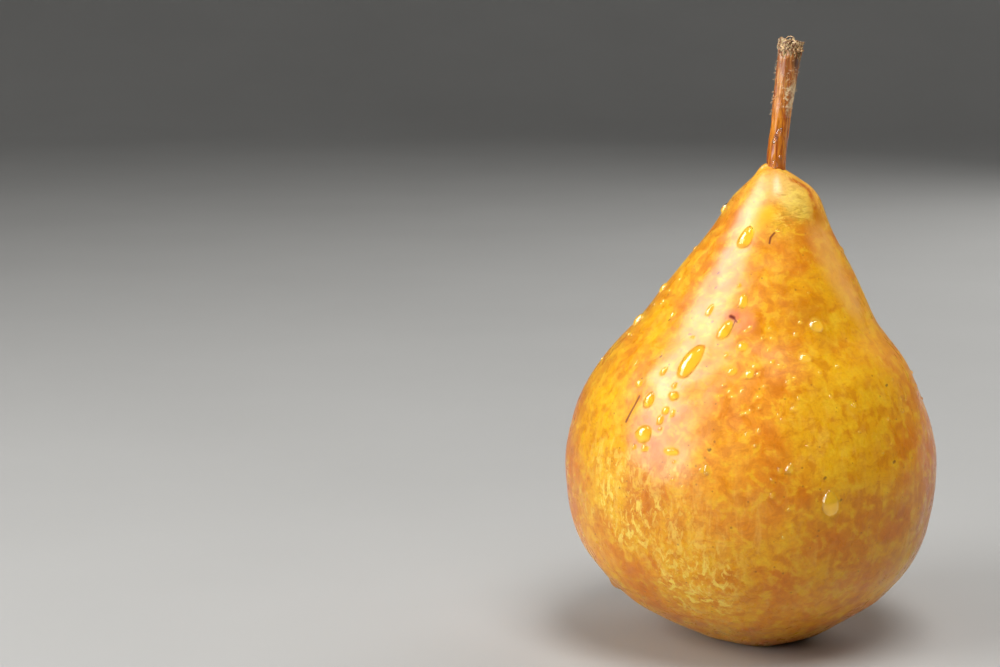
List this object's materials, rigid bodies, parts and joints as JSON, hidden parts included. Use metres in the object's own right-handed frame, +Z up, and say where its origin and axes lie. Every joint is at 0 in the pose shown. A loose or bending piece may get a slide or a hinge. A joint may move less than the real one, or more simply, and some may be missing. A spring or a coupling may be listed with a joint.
{
  "type": "pear",
  "caption": "Ripe yellow pear standing on its base, wet with drops of water, with a woody stem and a dried flower end underneath.",
  "frame": {"origin": "on the resting plane, under the middle of the belly", "axes": "+Z up towards the stem; -Y is the front, with the large drops; the neck and stem lean a little to +X"},
  "size_m": [0.0766, 0.0758, 0.1253],
  "materials": {
    "skin": "satin",
    "stem_wood": "satin",
    "dried_flower": "matte",
    "water": "gloss"
  },
  "bodies": {
    "root": {"fruit": "skin", "stem": "stem_wood", "calyx": "dried_flower"}
  },
  "joints": []
}
